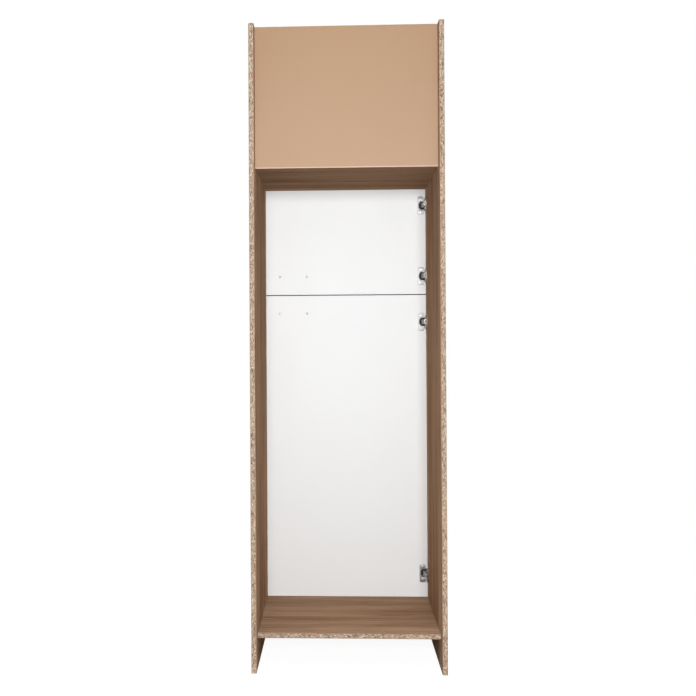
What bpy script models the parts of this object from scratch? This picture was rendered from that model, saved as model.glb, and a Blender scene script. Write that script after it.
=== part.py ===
"""Tall kitchen housing unit for a built-in fridge-freezer.

A carcass of wood-effect chipboard boards, open at the back behind the
appliance, with a plinth board, a fixed shelf above the appliance niche, a
small cupboard on top and three overlay doors on concealed cup hinges.

Metres, +Z up. The front is -Y, the hinges are on the -X side, and the origin
lies on the floor under the centre of the unit with its doors and handles.
"""
import bpy
import bmesh
from math import asin, atan2, cos, pi, radians, sin, tan
from mathutils import Matrix, Vector

# Carcass: the driving sizes
UNIT_WIDTH = 0.600
SIDE_DEPTH = 0.554
BOARD_THICKNESS = 0.016
REAR_RECESS = 0.050          # air space behind the boards, in from the sides' rear edges
PLINTH_SPACE = 0.096         # floor to the underside of the bottom panel
NICHE_HEIGHT = 1.446         # bottom panel to fixed shelf
CUPBOARD_HEIGHT = 0.410      # fixed shelf to top panel
PLINTH_SETBACK = 0.050
BACK_THICKNESS = 0.003
GROOVE_DEPTH = 0.004         # the back panel's grooves in the sides

# Fits
FIT_GAP = 0.0003             # between pieces that touch
CUT_OVERRUN = 0.002          # how far a cutter runs past the face it opens

# Dowels that carry the bottom panel and the fixed shelf
DOWEL_RADIUS = 0.004
DOWEL_LENGTH = 0.030
DOWEL_IN_SIDE = 0.010
DOWEL_END_ROUND = 0.0008
DOWEL_INSET = 0.064          # from a board's front and rear edges
HOLE_END_GAP = 0.001         # left free at the bottom of a blind hole

# Doors
DOOR_THICKNESS = 0.016
DOOR_GAP = 0.0025            # side panels' front edges to the doors
DOOR_REVEAL = 0.002          # doors' side edges inside the unit's width
DOOR_JOINT = 0.003           # between one door and the next
DOOR_BOTTOM_REVEAL = 0.003   # fridge door above the plinth space
DOOR_TOP_REVEAL = 0.002
FREEZER_DOOR_HEIGHT = 0.379
DOOR_EDGE_ROUND = 0.0008
SWING = 95.0                 # degrees that a door opens

# Handles: bow handles with two screws, and the screws
HANDLE_SPACING = 0.096
HANDLE_SIDE_INSET = 0.064    # outer screw to the door's side edge
HANDLE_END_INSET = 0.064     # screws to the door's upper or lower edge
HANDLE_PROJECTION = 0.032
HANDLE_BAR_RADIUS = 0.005
HANDLE_BEND_RADIUS = 0.014
SCREW_RADIUS = 0.002
SCREW_HEAD_RADIUS = 0.004
SCREW_HEAD_HEIGHT = 0.0022
SCREW_IN_HANDLE = 0.010
SCREW_CLEARANCE = 0.0004

# Concealed hinges. Their plan view is measured from the side panel's inner
# front edge: "in" is towards the middle of the unit, "out" is forwards.
HINGE_INSET_SHORT = 0.064    # hinge to the end of the two short doors
HINGE_INSET_TALL = 0.096     # and of the fridge door
CUP_RADIUS = 0.0175
CUP_DEPTH = 0.0118           # below the door's inner face
CUP_WALL = 0.001
CUP_FLOOR = 0.0008
CUP_EDGE_DISTANCE = 0.004    # from the cup's hole to the door's side edge
CUP_RIM = 0.0012
FLANGE_THICKNESS = 0.001
FLANGE_HEIGHT = 0.064
FLANGE_IN_NEAR = 0.0015      # the flange plate's near edge, short of the cup's middle
FLANGE_IN_FAR = 0.0205       # and its far edge, past the cup's middle
FLANGE_CORNER = 0.006
SWING_AXIS_BACK = 0.0073     # the door's turning axis, behind the side's inner face
SWING_AXIS_OUT = 0.0105      # and forward of the door's inner face
PIN_RADIUS = 0.0013
BORE_CLEARANCE = 0.0003
STUB_RADIUS = 0.0012
EYE_RADIUS = 0.0024
LINK_HALF_WIDTH = 0.0008
INNER_PIN_BACK = 0.0119      # the inner link's pin in the cup, from the cup's middle
INNER_PIN_DEPTH = 0.0065
INNER_BEND_BACK = 0.0053
INNER_BEND_DEPTH = 0.009
INNER_ARM_REACH = 0.0195     # turning axis to the inner link's pin in the arm
INNER_EYE_RADIUS = 0.002
OUTER_PIN_BACK = 0.0127      # the outer link's pin in the cup
OUTER_PIN_DEPTH = 0.0014
OUTER_BEND_BACK = 0.0099
OUTER_BEND_DEPTH = 0.0041
OUTER_ARM_REACH = 0.0185
OUTER_EYE_RADIUS = 0.0021
INNER_LINK_THICKNESS = 0.0072
LINK_LAYER_GAP = 0.0006      # between the layers of links and arm
OUTER_LINK_SHEET = 0.0016
ARM_SHEET = 0.0015
ARM_TOP_IN = 0.0164          # the arm's web at the nose, from the side's inner face
ARM_REAR_IN = 0.0098         # and over the mounting plate
ARM_WEB = 0.0012
ARM_LENGTH = 0.058           # behind the side's front edge
ARM_NOSE_SHOULDER = 0.001    # where the web ends, behind the front edge
ARM_RISE_FRONT = 0.008       # where the web slopes up to the nose
ARM_RISE_REAR = 0.022
ARM_THROAT = 0.024           # where the cheeks' lower edge starts to rise
ARM_NOSE_BACK = 0.004
RIVET_HEAD = 0.0006
PLATE_THICKNESS = 0.003
PLATE_REAR = 0.060
PLATE_FRONT = 0.020
PLATE_HOLE_LINE = 0.037      # screw line behind the front edge
PLATE_WING_SPAN = 0.052
PLATE_WING_WIDTH = 0.012
PLATE_WING_THICKNESS = 0.0022
PLATE_EDGE = 0.0012          # plate past the arm's cheeks
BLOCK_IN = 0.008
BLOCK_REAR = 0.056
BLOCK_FRONT = 0.026
CHEEK_GAP = 0.0004

# Facets on round shapes
CUP_SIDES = 28
PIN_SIDES = 10
HOLE_SIDES = 12
ARC_STEPS = 5
BEND_STEPS = 5

# Derived places
INNER_HALF_WIDTH = UNIT_WIDTH / 2 - BOARD_THICKNESS
BOARD_DEPTH = SIDE_DEPTH - REAR_RECESS
BOARD_HALF_LENGTH = INNER_HALF_WIDTH - FIT_GAP
OVERALL_DEPTH = SIDE_DEPTH + DOOR_GAP + DOOR_THICKNESS + HANDLE_PROJECTION
REAR_Y = OVERALL_DEPTH / 2
FRONT_Y = REAR_Y - SIDE_DEPTH
BOARD_REAR_Y = REAR_Y - REAR_RECESS
DOOR_INNER_Y = FRONT_Y - DOOR_GAP
DOOR_OUTER_Y = DOOR_INNER_Y - DOOR_THICKNESS
DOOR_HALF_WIDTH = UNIT_WIDTH / 2 - DOOR_REVEAL
BOTTOM_TOP_Z = PLINTH_SPACE + BOARD_THICKNESS
SHELF_Z = BOTTOM_TOP_Z + NICHE_HEIGHT
SHELF_MIDDLE_Z = SHELF_Z + BOARD_THICKNESS / 2
TOP_PANEL_Z = SHELF_Z + BOARD_THICKNESS + CUPBOARD_HEIGHT
UNIT_HEIGHT = TOP_PANEL_Z + BOARD_THICKNESS
FREEZER_TOP_Z = SHELF_MIDDLE_Z - DOOR_JOINT / 2
FREEZER_BOTTOM_Z = FREEZER_TOP_Z - FREEZER_DOOR_HEIGHT
FRIDGE_TOP_Z = FREEZER_BOTTOM_Z - DOOR_JOINT
FRIDGE_BOTTOM_Z = PLINTH_SPACE + DOOR_BOTTOM_REVEAL
TOP_DOOR_BOTTOM_Z = SHELF_MIDDLE_Z + DOOR_JOINT / 2
TOP_DOOR_TOP_Z = UNIT_HEIGHT - DOOR_TOP_REVEAL
CUP_IN = CUP_RADIUS - (BOARD_THICKNESS - DOOR_REVEAL - CUP_EDGE_DISTANCE)
CUP_HOLE_RADIUS = CUP_RADIUS + FIT_GAP
SWING_AXIS = Vector((-SWING_AXIS_BACK, DOOR_GAP + SWING_AXIS_OUT))
INNER_LINK_Z = INNER_LINK_THICKNESS / 2
OUTER_LINK_Z = INNER_LINK_Z + LINK_LAYER_GAP
CHEEK_Z = OUTER_LINK_Z + OUTER_LINK_SHEET + LINK_LAYER_GAP
ARM_HALF_WIDTH = CHEEK_Z + ARM_SHEET
STUB_Z = INNER_LINK_Z + BORE_CLEARANCE

# name, lower edge, upper edge, hinge inset, handle height
DOORS = (
    ("fridge", FRIDGE_BOTTOM_Z, FRIDGE_TOP_Z, HINGE_INSET_TALL,
     FRIDGE_TOP_Z - HANDLE_END_INSET),
    ("freezer", FREEZER_BOTTOM_Z, FREEZER_TOP_Z, HINGE_INSET_SHORT,
     FREEZER_BOTTOM_Z + HANDLE_END_INSET),
    ("top", TOP_DOOR_BOTTOM_Z, TOP_DOOR_TOP_Z, HINGE_INSET_SHORT,
     TOP_DOOR_BOTTOM_Z + HANDLE_END_INSET),
)
HANDLE_OUTER_X = DOOR_HALF_WIDTH - HANDLE_SIDE_INSET
HANDLE_SCREW_XS = (HANDLE_OUTER_X - HANDLE_SPACING, HANDLE_OUTER_X)
DOWEL_YS = (FRONT_Y + DOWEL_INSET, BOARD_REAR_Y - DOWEL_INSET)

# Finishes: colour, roughness, metallic
OAK = ((0.46, 0.31, 0.20), 0.55, 0.0)
WHITE = ((0.86, 0.86, 0.85), 0.35, 0.0)
HARDBOARD = ((0.58, 0.38, 0.24), 0.70, 0.0)
BEECH = ((0.70, 0.50, 0.31), 0.65, 0.0)
NICKEL = ((0.62, 0.60, 0.57), 0.30, 1.0)
STEEL = ((0.55, 0.55, 0.55), 0.35, 1.0)


def clear_scene():
    for obj in list(bpy.data.objects):
        bpy.data.objects.remove(obj, do_unlink=True)


def new_collection(name):
    group = bpy.data.collections.new(name)
    bpy.context.scene.collection.children.link(group)
    return group


clear_scene()
UNIT = new_collection("fridge_housing_unit")
CUTTERS = new_collection("cutters")


def add_object(name, mesh, group, place=(0, 0, 0), parent=None):
    """An object at a place given in the unit's frame, also under a parent."""
    obj = bpy.data.objects.new(name, mesh)
    obj.location = Vector(place)
    if parent is not None:
        obj.parent = parent
        obj.location -= parent.location
    group.objects.link(obj)
    return obj


def finish(obj, look):
    """Give a piece its own material."""
    colour, roughness, metallic = look
    material = bpy.data.materials.new(obj.name)
    material.use_nodes = True
    shader = material.node_tree.nodes["Principled BSDF"]
    shader.inputs["Base Color"].default_value = (*colour, 1.0)
    shader.inputs["Roughness"].default_value = roughness
    shader.inputs["Metallic"].default_value = metallic
    obj.data.materials.clear()
    obj.data.materials.append(material)
    return obj


def as_cutter(obj):
    obj.hide_render = True
    obj.display_type = "WIRE"
    return obj


def box_mesh(name, size):
    """A box centred on its own origin."""
    bm = bmesh.new()
    bmesh.ops.create_cube(bm, size=1.0, matrix=Matrix.Diagonal((*size, 1.0)))
    mesh = bpy.data.meshes.new(name)
    bm.to_mesh(mesh)
    bm.free()
    return mesh


def box(name, low, high, group=UNIT, parent=None):
    """A box between two corners, with its origin at its centre."""
    low, high = Vector(low), Vector(high)
    return add_object(name, box_mesh(name, high - low), group, (low + high) / 2, parent)


def rod(name, radius, length, axis, place, sides=PIN_SIDES, group=CUTTERS):
    """A cylinder centred on a place, along the X, Y or Z axis."""
    turn = {"X": Matrix.Rotation(pi / 2, 4, "Y"), "Y": Matrix.Rotation(pi / 2, 4, "X")}
    bm = bmesh.new()
    bmesh.ops.create_cone(bm, cap_ends=True, segments=sides, radius1=radius, radius2=radius,
                          depth=length, matrix=turn.get(axis, Matrix()))
    mesh = bpy.data.meshes.new(name)
    bm.to_mesh(mesh)
    bm.free()
    return add_object(name, mesh, group, place)


def boolean(obj, other, operation):
    modifier = obj.modifiers.new(other.name, "BOOLEAN")
    modifier.operation = operation
    modifier.object = as_cutter(other)


def baked_mesh(obj, name, helpers=()):
    """The evaluated mesh of an object, whose sources are then removed."""
    bpy.context.view_layer.update()
    evaluated = obj.evaluated_get(bpy.context.evaluated_depsgraph_get())
    mesh = bpy.data.meshes.new_from_object(evaluated)
    mesh.name = name
    bm = bmesh.new()
    bm.from_mesh(mesh)
    bm.transform(obj.matrix_world)
    bmesh.ops.remove_doubles(bm, verts=bm.verts, dist=FIT_GAP / 100)
    bm.to_mesh(mesh)
    bm.free()
    for old in (obj, *helpers):
        bpy.data.objects.remove(old, do_unlink=True)
    return mesh


def sheet(name, outline, thickness, z, holes=()):
    """A flat outline of (x, y) points, extruded about the height z, as a mesh object."""
    curve = bpy.data.curves.new(name, "CURVE")
    curve.dimensions = "2D"
    curve.fill_mode = "BOTH"
    curve.extrude = thickness / 2
    for points in (outline, *holes):
        spline = curve.splines.new("POLY")
        spline.points.add(len(points) - 1)
        spline.use_cyclic_u = True
        for point, (x, y) in zip(spline.points, points):
            point.co = (x, y, 0, 1)
    obj = add_object(name, curve, CUTTERS)
    mesh = baked_mesh(obj, name)
    return add_object(name, mesh, CUTTERS, (0, 0, z))


def arc(centre, radius, start, end, steps=ARC_STEPS):
    """Points along an arc, from one angle to another in radians."""
    angles = [start + (end - start) * i / steps for i in range(steps + 1)]
    return [(centre[0] + radius * cos(a), centre[1] + radius * sin(a)) for a in angles]


def circle(centre, radius, sides=PIN_SIDES):
    return arc(centre, radius, 0, 2 * pi * (sides - 1) / sides, sides - 1)


def bent_bar(start, bend, end, start_radius, end_radius):
    """The outline of a bar with one bend and a round eye at each end."""
    start, bend, end = Vector(start), Vector(bend), Vector(end)
    first, last = (bend - start).normalized(), (end - bend).normalized()
    mitre = (Vector((-first.y, first.x)) + Vector((-last.y, last.x))).normalized()
    reach = LINK_HALF_WIDTH / mitre.dot(Vector((-first.y, first.x)))
    start_angle, end_angle = atan2(first.y, first.x), atan2(-last.y, -last.x)
    start_half = asin(LINK_HALF_WIDTH / start_radius)
    end_half = asin(LINK_HALF_WIDTH / end_radius)
    points = arc(start, start_radius, start_angle + start_half,
                 start_angle + 2 * pi - start_half, 2 * ARC_STEPS)
    points.append(tuple(bend - mitre * reach))
    points += arc(end, end_radius, end_angle + end_half,
                  end_angle + 2 * pi - end_half, 2 * ARC_STEPS)
    points.append(tuple(bend + mitre * reach))
    return points


def turned(name, profile, sides, group=CUTTERS):
    """A profile of (radius, height) points, top to bottom, turned about Z."""
    bm = bmesh.new()
    verts = [bm.verts.new((radius, 0, height)) for radius, height in profile]
    for one, two in zip(verts, verts[1:]):
        bm.edges.new((one, two))
    mesh = bpy.data.meshes.new(name)
    bm.to_mesh(mesh)
    bm.free()
    obj = add_object(name, mesh, group)
    screw = obj.modifiers.new("turn", "SCREW")
    screw.angle = 2 * pi
    screw.steps = sides
    screw.render_steps = sides
    screw.use_merge_vertices = True
    screw.merge_threshold = FIT_GAP / 100
    return obj


def smooth(mesh, angle=radians(40)):
    mesh.shade_smooth()
    mesh.set_sharp_from_angle(angle=angle)
    return mesh


# Carcass

def side_panel(name, sign):
    """A full-height side, grooved for the back panel and drilled for the dowels."""
    inner, outer = sign * INNER_HALF_WIDTH, sign * UNIT_WIDTH / 2
    panel = box(name, (min(inner, outer), FRONT_Y, 0), (max(inner, outer), REAR_Y, UNIT_HEIGHT))
    bottom = inner + sign * GROOVE_DEPTH
    mouth = inner - sign * CUT_OVERRUN
    groove = box(name + "_groove",
                 (min(bottom, mouth), BOARD_REAR_Y, SHELF_Z - FIT_GAP),
                 (max(bottom, mouth), BOARD_REAR_Y + BACK_THICKNESS + 2 * FIT_GAP,
                  UNIT_HEIGHT + CUT_OVERRUN), CUTTERS)
    boolean(panel, groove, "DIFFERENCE")
    depth = DOWEL_IN_SIDE + HOLE_END_GAP
    for level, z in (("bottom", PLINTH_SPACE), ("shelf", SHELF_Z)):
        for row, y in zip(("front", "rear"), DOWEL_YS):
            hole = rod(f"{name}_{level}_{row}_hole", DOWEL_RADIUS + FIT_GAP,
                       depth + CUT_OVERRUN, "X",
                       (inner + sign * (depth - CUT_OVERRUN) / 2, y, z + BOARD_THICKNESS / 2),
                       HOLE_SIDES)
            boolean(panel, hole, "DIFFERENCE")
    finish(panel, OAK)


def board(name, bottom_z):
    """A horizontal board between the sides."""
    return finish(box(name, (-BOARD_HALF_LENGTH, FRONT_Y, bottom_z),
                      (BOARD_HALF_LENGTH, BOARD_REAR_Y, bottom_z + BOARD_THICKNESS)), OAK)


def drill_board_ends(panel, bottom_z):
    depth = DOWEL_LENGTH - DOWEL_IN_SIDE + HOLE_END_GAP
    for sign, side in ((-1, "left"), (1, "right")):
        for row, y in zip(("front", "rear"), DOWEL_YS):
            hole = rod(f"{panel.name}_{side}_{row}_hole", DOWEL_RADIUS + FIT_GAP,
                       depth + CUT_OVERRUN, "X",
                       (sign * (INNER_HALF_WIDTH - (depth - CUT_OVERRUN) / 2), y,
                        bottom_z + BOARD_THICKNESS / 2), HOLE_SIDES)
            boolean(panel, hole, "DIFFERENCE")


def dowels(level, bottom_z):
    """Beech dowels, chamfered at both ends, half in the side and half in the board."""
    half = DOWEL_LENGTH / 2
    profile = ((0, half), (DOWEL_RADIUS - DOWEL_END_ROUND, half),
               (DOWEL_RADIUS, half - DOWEL_END_ROUND), (DOWEL_RADIUS, DOWEL_END_ROUND - half),
               (DOWEL_RADIUS - DOWEL_END_ROUND, -half), (0, -half))
    mesh = smooth(baked_mesh(turned("dowel", profile, PIN_SIDES), "dowel"))
    mesh.transform(Matrix.Rotation(pi / 2, 4, "Y"))
    for sign, side in ((-1, "left"), (1, "right")):
        for row, y in zip(("front", "rear"), DOWEL_YS):
            x = sign * (INNER_HALF_WIDTH + DOWEL_IN_SIDE - half)
            finish(add_object(f"dowel_{level}_{side}_{row}", mesh.copy(), UNIT,
                              (x, y, bottom_z + BOARD_THICKNESS / 2)), BEECH)


def carcass():
    side_panel("side_panel_left", -1)
    side_panel("side_panel_right", 1)
    drill_board_ends(board("bottom_panel", PLINTH_SPACE), PLINTH_SPACE)
    drill_board_ends(board("fixed_shelf", SHELF_Z), SHELF_Z)
    board("top_panel", TOP_PANEL_Z)
    dowels("bottom", PLINTH_SPACE)
    dowels("shelf", SHELF_Z)
    back_half = INNER_HALF_WIDTH + GROOVE_DEPTH - FIT_GAP
    back_y = BOARD_REAR_Y + FIT_GAP
    finish(box("back_panel", (-back_half, back_y, SHELF_Z),
               (back_half, back_y + BACK_THICKNESS, UNIT_HEIGHT)), HARDBOARD)
    plinth_y = FRONT_Y + PLINTH_SETBACK
    finish(box("plinth_panel", (-BOARD_HALF_LENGTH, plinth_y, 0),
               (BOARD_HALF_LENGTH, plinth_y + BOARD_THICKNESS, PLINTH_SPACE - FIT_GAP)), OAK)


# Hinges: meshes in the hinge's own frame, x inwards, y backwards, z up

def plan(inward, outward):
    """A hinge's plan place as x and y of its own frame."""
    return Vector((inward, -outward))


def cup_place(back, depth):
    """A place in the cup: back from its middle, and below the door's inner face."""
    return plan(CUP_IN - back, DOOR_GAP + depth)


def arm_pin(cup_pin, reach):
    """The arm's pin of a link: on the line through the turning axis that lies
    midway between the cup pin's closed and open places."""
    axis = plan(*SWING_AXIS)
    spoke = cup_pin - axis
    half = -radians(SWING) / 2
    turned_spoke = Matrix.Rotation(half, 2) @ spoke
    return axis + turned_spoke.normalized() * reach


INNER_CUP_PIN = cup_place(INNER_PIN_BACK, INNER_PIN_DEPTH)
OUTER_CUP_PIN = cup_place(OUTER_PIN_BACK, OUTER_PIN_DEPTH)
INNER_ARM_PIN = arm_pin(INNER_CUP_PIN, INNER_ARM_REACH)
OUTER_ARM_PIN = arm_pin(OUTER_CUP_PIN, OUTER_ARM_REACH)


def union_mesh(name, first, others):
    for other in others:
        boolean(first, other, "UNION")
    return smooth(baked_mesh(first, name, others))


def stub(name, pin, sign):
    """A cutter that keeps a pin in the cup's hollow, from its wall to the inner link's layer."""
    return rod(name, STUB_RADIUS, CUP_RADIUS, "Z",
               (pin.x, pin.y, sign * (STUB_Z + CUP_RADIUS / 2)))


def cup_mesh():
    """The cup with its flange, hollow towards the cabinet, and four pin stubs."""
    top = -DOOR_GAP + FIT_GAP + FLANGE_THICKNESS
    face = top - FLANGE_THICKNESS
    bottom = -DOOR_GAP - CUP_DEPTH
    rim = CUP_RADIUS + CUP_RIM
    profile = ((0, top), (rim, top), (rim, face), (CUP_RADIUS, face),
               (CUP_RADIUS, bottom), (0, bottom))
    body = turned("cup", profile, CUP_SIDES)
    body.rotation_euler = (-pi / 2, 0, 0)
    body.location = (CUP_IN, 0, 0)
    near, far = CUP_IN - FLANGE_IN_NEAR, CUP_IN + FLANGE_IN_FAR
    half = FLANGE_HEIGHT / 2
    outline = []
    for x, z, quarter in ((far, half, 0), (near, half, 1), (near, -half, 2), (far, -half, 3)):
        centre = (x - FLANGE_CORNER if x == far else x + FLANGE_CORNER,
                  z - FLANGE_CORNER if z > 0 else z + FLANGE_CORNER)
        outline += arc(centre, FLANGE_CORNER, quarter * pi / 2, (quarter + 1) * pi / 2)
    flange = sheet("flange", outline, FLANGE_THICKNESS, 0)
    flange.rotation_euler = (pi / 2, 0, 0)
    flange.location = (0, (top + face) / 2, 0)
    hollow_length = top + CUT_OVERRUN - (bottom + CUP_FLOOR)
    hollow = rod("hollow", CUP_RADIUS - CUP_WALL, hollow_length, "Y",
                 (CUP_IN, bottom + CUP_FLOOR + hollow_length / 2, 0), CUP_SIDES)
    stubs = [stub(f"stub_{i}", pin, sign)
             for i, (pin, sign) in enumerate(((INNER_CUP_PIN, 1), (INNER_CUP_PIN, -1),
                                              (OUTER_CUP_PIN, 1), (OUTER_CUP_PIN, -1)))]
    for piece in stubs:
        boolean(hollow, piece, "DIFFERENCE")
    boolean(body, flange, "UNION")
    boolean(body, hollow, "DIFFERENCE")
    return smooth(baked_mesh(body, "hinge_cup", (flange, hollow, *stubs)))


def arm_mesh():
    """The arm: a channel of bent sheet with a nose that reaches into the cup."""
    foot = PLATE_THICKNESS + FIT_GAP
    nose_left = OUTER_ARM_PIN.x - EYE_RADIUS
    outline = [(foot, ARM_LENGTH), (foot, ARM_THROAT), (nose_left, ARM_NOSE_BACK)]
    outline += arc(OUTER_ARM_PIN, EYE_RADIUS, pi, pi * 1.2, 2)
    outline += arc(INNER_ARM_PIN, EYE_RADIUS, pi * 1.15, 2 * pi)
    shoulder = INNER_ARM_PIN.x + EYE_RADIUS
    back = [(ARM_TOP_IN, ARM_NOSE_SHOULDER), (ARM_TOP_IN, ARM_RISE_FRONT),
            (ARM_REAR_IN, ARM_RISE_REAR), (ARM_REAR_IN, ARM_LENGTH)]
    outline += [(shoulder, OUTER_ARM_PIN.y), *back]
    slope = atan2(ARM_TOP_IN - ARM_REAR_IN, ARM_RISE_REAR - ARM_RISE_FRONT)
    shift = ARM_WEB * tan(slope / 2)
    inside = [(x - ARM_WEB, y - shift if y in (ARM_RISE_FRONT, ARM_RISE_REAR) else y)
              for x, y in reversed(back)]
    cheek_z = CHEEK_Z + ARM_SHEET / 2
    cheek = sheet("cheek", outline, ARM_SHEET, -cheek_z)
    other_cheek = sheet("other_cheek", outline, ARM_SHEET, cheek_z)
    web = sheet("web", back + inside, 2 * ARM_HALF_WIDTH, 0)
    pin = rod("pin", PIN_RADIUS, 2 * (ARM_HALF_WIDTH + RIVET_HEAD), "Z",
              (*INNER_ARM_PIN, 0))
    rivet_length = ARM_SHEET / 2 + RIVET_HEAD
    rivets = [rod(f"rivet_{i}", PIN_RADIUS, rivet_length, "Z",
                  (*OUTER_ARM_PIN, sign * (cheek_z + rivet_length / 2)))
              for i, sign in enumerate((-1, 1))]
    return union_mesh("hinge_arm", cheek, (web, other_cheek, pin, *rivets))


def plate_mesh():
    """The mounting plate on the side panel: a rail, two wings and the arm's block."""
    base = box("base", (FIT_GAP, PLATE_FRONT, -ARM_HALF_WIDTH - PLATE_EDGE),
               (PLATE_THICKNESS, PLATE_REAR, ARM_HALF_WIDTH + PLATE_EDGE), CUTTERS)
    radius = PLATE_WING_WIDTH / 2
    reach = PLATE_WING_SPAN / 2 - radius
    outline = arc((0, reach), radius, 0, pi) + arc((0, -reach), radius, pi, 2 * pi)
    wings = sheet("wings", outline, PLATE_WING_THICKNESS - FIT_GAP, 0)
    wings.rotation_euler = (pi / 2, 0, pi / 2)
    wings.location = ((PLATE_WING_THICKNESS + FIT_GAP) / 2, PLATE_HOLE_LINE, 0)
    block_half = CHEEK_Z - CHEEK_GAP
    block = box("block", (PLATE_THICKNESS / 2, BLOCK_FRONT, -block_half),
                (BLOCK_IN, BLOCK_REAR, block_half), CUTTERS)
    return union_mesh("hinge_plate", base, (wings, block))


def inner_link_mesh():
    """The middle link, bent round the cup's rim, with its origin on the arm's pin."""
    bend = cup_place(INNER_BEND_BACK, INNER_BEND_DEPTH)
    outline = bent_bar(INNER_CUP_PIN, bend, INNER_ARM_PIN, INNER_EYE_RADIUS, EYE_RADIUS)
    bore = circle(INNER_ARM_PIN, PIN_RADIUS + BORE_CLEARANCE)
    link = sheet("inner_link", outline, INNER_LINK_THICKNESS, 0, (bore,))
    link.location = (-INNER_ARM_PIN.x, -INNER_ARM_PIN.y, 0)
    return smooth(baked_mesh(link, "hinge_inner_link"))


def outer_link_mesh():
    """Two bent cheeks joined by a barrel, with the origin on the cup's pin."""
    bend = cup_place(OUTER_BEND_BACK, OUTER_BEND_DEPTH)
    outline = bent_bar(OUTER_CUP_PIN, bend, OUTER_ARM_PIN, OUTER_EYE_RADIUS, OUTER_EYE_RADIUS)
    bore = circle(OUTER_CUP_PIN, STUB_RADIUS + BORE_CLEARANCE)
    middle = OUTER_LINK_Z + OUTER_LINK_SHEET / 2
    cheeks = [sheet(f"link_cheek_{i}", outline, OUTER_LINK_SHEET, sign * middle, (bore,))
              for i, sign in enumerate((-1, 1))]
    barrel = rod("barrel", OUTER_EYE_RADIUS - BORE_CLEARANCE,
                 2 * OUTER_LINK_Z + OUTER_LINK_SHEET, "Z", (*OUTER_ARM_PIN, 0), HOLE_SIDES)
    mesh = union_mesh("hinge_outer_link", cheeks[0], (cheeks[1], barrel))
    mesh.transform(Matrix.Translation((-OUTER_CUP_PIN.x, -OUTER_CUP_PIN.y, 0)))
    return mesh


# Doors

def swing_axis_empty(name):
    """The empty that a door turns on, upright on its hinges' turning axis."""
    place = hinge_place(plan(*SWING_AXIS), 0)
    return add_object(name, None, UNIT, place)


def hinge_place(point, z):
    """A plan point of a hinge, in the unit's frame, at a height."""
    return Vector((point.x - INNER_HALF_WIDTH, point.y + FRONT_Y, z))


def bow_handle_mesh():
    """A round bar, bent to a bow with straight feet, bored for its screws."""
    half = HANDLE_SPACING / 2
    front = HANDLE_PROJECTION - HANDLE_BAR_RADIUS
    bend = HANDLE_BEND_RADIUS
    path = [(-half, FIT_GAP)]
    path += arc((-half + bend, front - bend), bend, pi, pi / 2, BEND_STEPS)
    path += arc((half - bend, front - bend), bend, pi / 2, 0, BEND_STEPS)
    path.append((half, FIT_GAP))
    curve = bpy.data.curves.new("bow", "CURVE")
    curve.dimensions = "3D"
    curve.fill_mode = "FULL"
    curve.bevel_depth = HANDLE_BAR_RADIUS
    curve.bevel_resolution = 3
    curve.use_fill_caps = True
    spline = curve.splines.new("POLY")
    spline.points.add(len(path) - 1)
    for point, (x, out) in zip(spline.points, path):
        point.co = (x, -out, 0, 1)
    bar = add_object("bow", baked_mesh(add_object("bow", curve, CUTTERS), "bow"), CUTTERS)
    depth = SCREW_IN_HANDLE + HOLE_END_GAP
    bores = [rod(f"bore_{sign}", SCREW_RADIUS + SCREW_CLEARANCE, depth + CUT_OVERRUN, "Y",
                 (sign * half, -(depth - CUT_OVERRUN) / 2, 0), PIN_SIDES) for sign in (-1, 1)]
    for bore in bores:
        boolean(bar, bore, "DIFFERENCE")
    return smooth(baked_mesh(bar, "bow_handle", bores))


def screw_mesh():
    """A handle screw: pan head on the door's inner face, shank into the handle."""
    tip = -(DOOR_THICKNESS + SCREW_IN_HANDLE)
    chamfer = SCREW_HEAD_HEIGHT / 3
    profile = ((0, SCREW_HEAD_HEIGHT), (SCREW_HEAD_RADIUS - chamfer, SCREW_HEAD_HEIGHT),
               (SCREW_HEAD_RADIUS, SCREW_HEAD_HEIGHT - chamfer), (SCREW_HEAD_RADIUS, FIT_GAP),
               (SCREW_RADIUS, FIT_GAP), (SCREW_RADIUS, tip), (0, tip))
    mesh = smooth(baked_mesh(turned("screw", profile, PIN_SIDES), "handle_screw"))
    mesh.transform(Matrix.Rotation(-pi / 2, 4, "X"))
    return mesh


def door(name, low_z, high_z, hinge_zs, handle_z, axis):
    """A door panel with holes for its hinge cups and handle screws."""
    panel = box("door_" + name, (-DOOR_HALF_WIDTH, DOOR_OUTER_Y, low_z),
                (DOOR_HALF_WIDTH, DOOR_INNER_Y, high_z), parent=axis)
    edges = panel.modifiers.new("edges", "BEVEL")
    edges.width = DOOR_EDGE_ROUND
    edges.segments = 1
    hole_depth = CUP_DEPTH + FIT_GAP
    for i, z in enumerate(hinge_zs):
        centre = hinge_place(plan(CUP_IN, DOOR_GAP + (hole_depth - CUT_OVERRUN) / 2), z)
        hole = rod(f"door_{name}_cup_hole_{i}", CUP_HOLE_RADIUS, hole_depth + CUT_OVERRUN,
                   "Y", centre, CUP_SIDES)
        boolean(panel, hole, "DIFFERENCE")
    for i, x in enumerate(HANDLE_SCREW_XS):
        hole = rod(f"door_{name}_screw_hole_{i}", SCREW_RADIUS + SCREW_CLEARANCE,
                   DOOR_THICKNESS + 2 * CUT_OVERRUN, "Y",
                   (x, (DOOR_INNER_Y + DOOR_OUTER_Y) / 2, handle_z), HOLE_SIDES)
        boolean(panel, hole, "DIFFERENCE")
    finish(panel, WHITE)


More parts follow.
